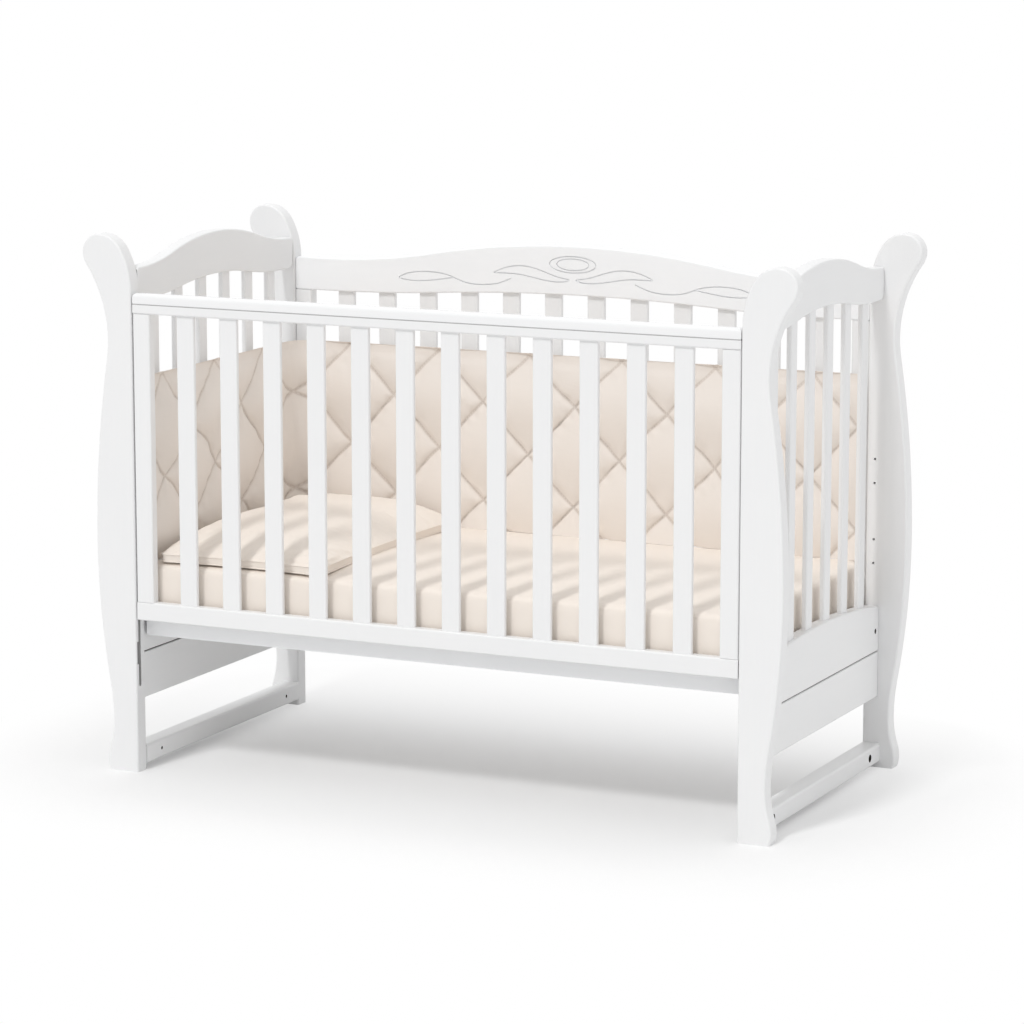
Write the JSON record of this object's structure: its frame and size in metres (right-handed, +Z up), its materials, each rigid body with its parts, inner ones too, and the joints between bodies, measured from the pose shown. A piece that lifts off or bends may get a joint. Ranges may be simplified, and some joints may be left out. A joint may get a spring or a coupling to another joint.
{
  "type": "baby crib",
  "caption": "White painted baby crib with sleigh-shaped posts, arched ends, a drop side in front, a carved crest rail, a mattress, a quilted corner bumper and a pillow.",
  "frame": {"origin": "on the floor under the middle of the crib", "axes": "X runs along the crib's length, -Y is the front with the drop side, +Z is up"},
  "size_m": [1.406, 0.661, 1.007],
  "materials": {
    "white_painted_wood": "smooth satin white paint on beech",
    "bare_beech": "bare turned beech",
    "zinc_steel": "zinc-plated steel",
    "white_plastic": "smooth white moulded plastic",
    "mattress_fabric": "tight off-white woven cover",
    "quilted_fabric": "beige quilted cotton with sewn diamonds",
    "pillow_fabric": "soft off-white cotton with a piped seam"
  },
  "bodies": {
    "frame": {"post_front_left": "white_painted_wood", "post_front_right": "white_painted_wood", "post_back_left": "white_painted_wood", "post_back_right": "white_painted_wood", "end_top_rail_left": "white_painted_wood", "end_top_rail_right": "white_painted_wood", "end_apron_left": "white_painted_wood", "end_apron_right": "white_painted_wood", "end_stretcher_left": "white_painted_wood", "end_stretcher_right": "white_painted_wood", "end_slats_left": "white_painted_wood", "end_slats_right": "white_painted_wood", "back_crest_rail": "white_painted_wood", "back_bottom_rail": "white_painted_wood", "back_stile_left": "white_painted_wood", "back_stile_right": "white_painted_wood", "back_slat_01": "white_painted_wood", "back_slat_02": "white_painted_wood", "back_slat_03": "white_painted_wood", "back_slat_04": "white_painted_wood", "back_slat_05": "white_painted_wood", "back_slat_06": "white_painted_wood", "back_slat_07": "white_painted_wood", "back_slat_08": "white_painted_wood", "back_slat_09": "white_painted_wood", "back_slat_10": "white_painted_wood", "back_slat_11": "white_painted_wood", "back_slat_12": "white_painted_wood", "frame_dowels": "bare_beech", "connecting_studs": "zinc_steel", "barrel_nuts": "zinc_steel", "base_long_rail_front": "white_painted_wood", "base_long_rail_back": "white_painted_wood", "base_end_rail_left": "white_painted_wood", "base_end_rail_right": "white_painted_wood", "base_slats": "white_painted_wood", "base_bolts": "zinc_steel"},
    "drop_side": {"drop_top_rail": "white_painted_wood", "drop_teething_cap": "white_plastic", "drop_bottom_rail": "white_painted_wood", "drop_stile_left": "white_painted_wood", "drop_stile_right": "white_painted_wood", "drop_slat_01": "white_painted_wood", "drop_slat_02": "white_painted_wood", "drop_slat_03": "white_painted_wood", "drop_slat_04": "white_painted_wood", "drop_slat_05": "white_painted_wood", "drop_slat_06": "white_painted_wood", "drop_slat_07": "white_painted_wood", "drop_slat_08": "white_painted_wood", "drop_slat_09": "white_painted_wood", "drop_slat_10": "white_painted_wood", "drop_slat_11": "white_painted_wood", "drop_slat_12": "white_painted_wood", "drop_guide_pins": "zinc_steel", "drop_dowels": "bare_beech"},
    "mattress": {"mattress": "mattress_fabric"},
    "bumper": {"bumper": "quilted_fabric"},
    "pillow": {"pillow": "pillow_fabric"}
  },
  "joints": [
    {"name": "front_side_drop", "type": "slide", "parent": "frame", "child": "drop_side", "axis": [0, 0, -1], "range_m": [0, 0.14]},
    {"name": "mattress_lift", "type": "slide", "parent": "frame", "child": "mattress", "axis": [0, 0, 1], "range_m": [0, 0.62]},
    {"name": "bumper_lift", "type": "slide", "parent": "mattress", "child": "bumper", "axis": [0, 0, 1], "range_m": [0, 0.36]},
    {"name": "pillow_lift", "type": "slide", "parent": "mattress", "child": "pillow", "axis": [0, 0, 1], "range_m": [0, 0.36]}
  ]
}
